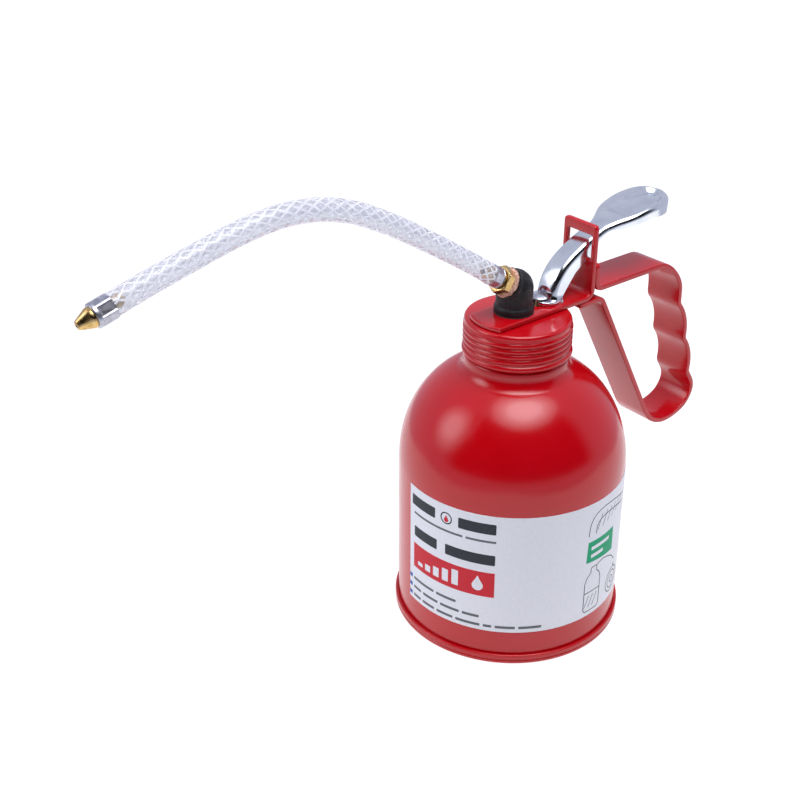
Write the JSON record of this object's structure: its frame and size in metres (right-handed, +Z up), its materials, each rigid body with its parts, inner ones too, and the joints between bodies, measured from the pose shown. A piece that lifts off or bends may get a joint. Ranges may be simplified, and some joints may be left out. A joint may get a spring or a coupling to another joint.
{
  "type": "thumb-lever pump oil can",
  "caption": "Hand-held pump oil can: round metal can with a screw-on pump head, thumb lever, strip handle and long braided hose spout with a brass nozzle.",
  "frame": {"origin": "centre of the can's base, on the surface it stands on", "axes": "+Z up along the can's axis, +X towards the spout, -X towards the handle; the lever, handle and spout lie in the plane Y = 0"},
  "size_m": [0.2602, 0.0876, 0.1859],
  "materials": {
    "red_enamel": "gloss",
    "label_film": "satin",
    "rubber": "matte",
    "brass": "machined",
    "steel": "satin",
    "plated_steel": "bright zinc plate",
    "chrome": "polished",
    "black_fitting": "satin, slightly pitted",
    "sealant": "rough",
    "clear_hose": "clear, glossy",
    "clear_tube": "gloss"
  },
  "bodies": {
    "can": {"can_shell": "red_enamel", "base_disc": "red_enamel", "label": "label_film"},
    "head": {"cap_gasket": "rubber", "screw_cap": "red_enamel", "bracket": "red_enamel", "handle": "red_enamel", "pump_body": "brass", "gland_packing": "rubber", "gland_nut": "brass", "pump_barrel": "brass", "return_spring": "steel", "foot_valve": "brass", "valve_cage": "steel", "suction_tube": "clear_tube", "strainer": "brass", "outlet_nipple": "brass", "stop_pin": "steel", "elbow_washer": "steel", "elbow": "black_fitting", "sealant_ring": "sealant", "hose_fitting": "brass", "rear_ferrule": "plated_steel", "hose": "clear_hose", "front_ferrule": "plated_steel", "nozzle_tip": "brass"},
    "plunger": {"plunger_rod": "plated_steel", "piston": "brass", "piston_seal": "rubber", "piston_nut": "steel"},
    "lever": {"thumb_lever": "chrome"},
    "inlet_ball": {"inlet_ball": "steel"},
    "outlet_ball": {"outlet_ball": "steel"}
  },
  "joints": [
    {"name": "cap_turn", "type": "hinge", "parent": "can", "child": "head", "pos_m": [0, 0, 0.1085], "axis": [0, 0, 1], "range_deg": [0, 900]},
    {"name": "lever_press", "type": "hinge", "parent": "head", "child": "lever", "pos_m": [-0.0295, 0, 0.137], "axis": [0, -1, 0], "range_deg": [0, 25], "stiffness_Nm_per_rad": 0.25, "springref_deg": -34.38},
    {"name": "plunger_lift", "type": "slide", "parent": "head", "child": "plunger", "axis": [0, 0, 1], "range_m": [0, 0.0095], "deforming": ["return_spring"]},
    {"name": "inlet_ball_lift", "type": "slide", "parent": "head", "child": "inlet_ball", "axis": [0, 0, 1], "range_m": [0, 0.0012]},
    {"name": "outlet_ball_lift", "type": "slide", "parent": "head", "child": "outlet_ball", "axis": [0, 0, 1], "range_m": [0, 0.0012]}
  ],
  "couplings": [
    {"joint": "plunger_lift", "follows": "lever_press", "m_per_rad": 0.0215}
  ]
}
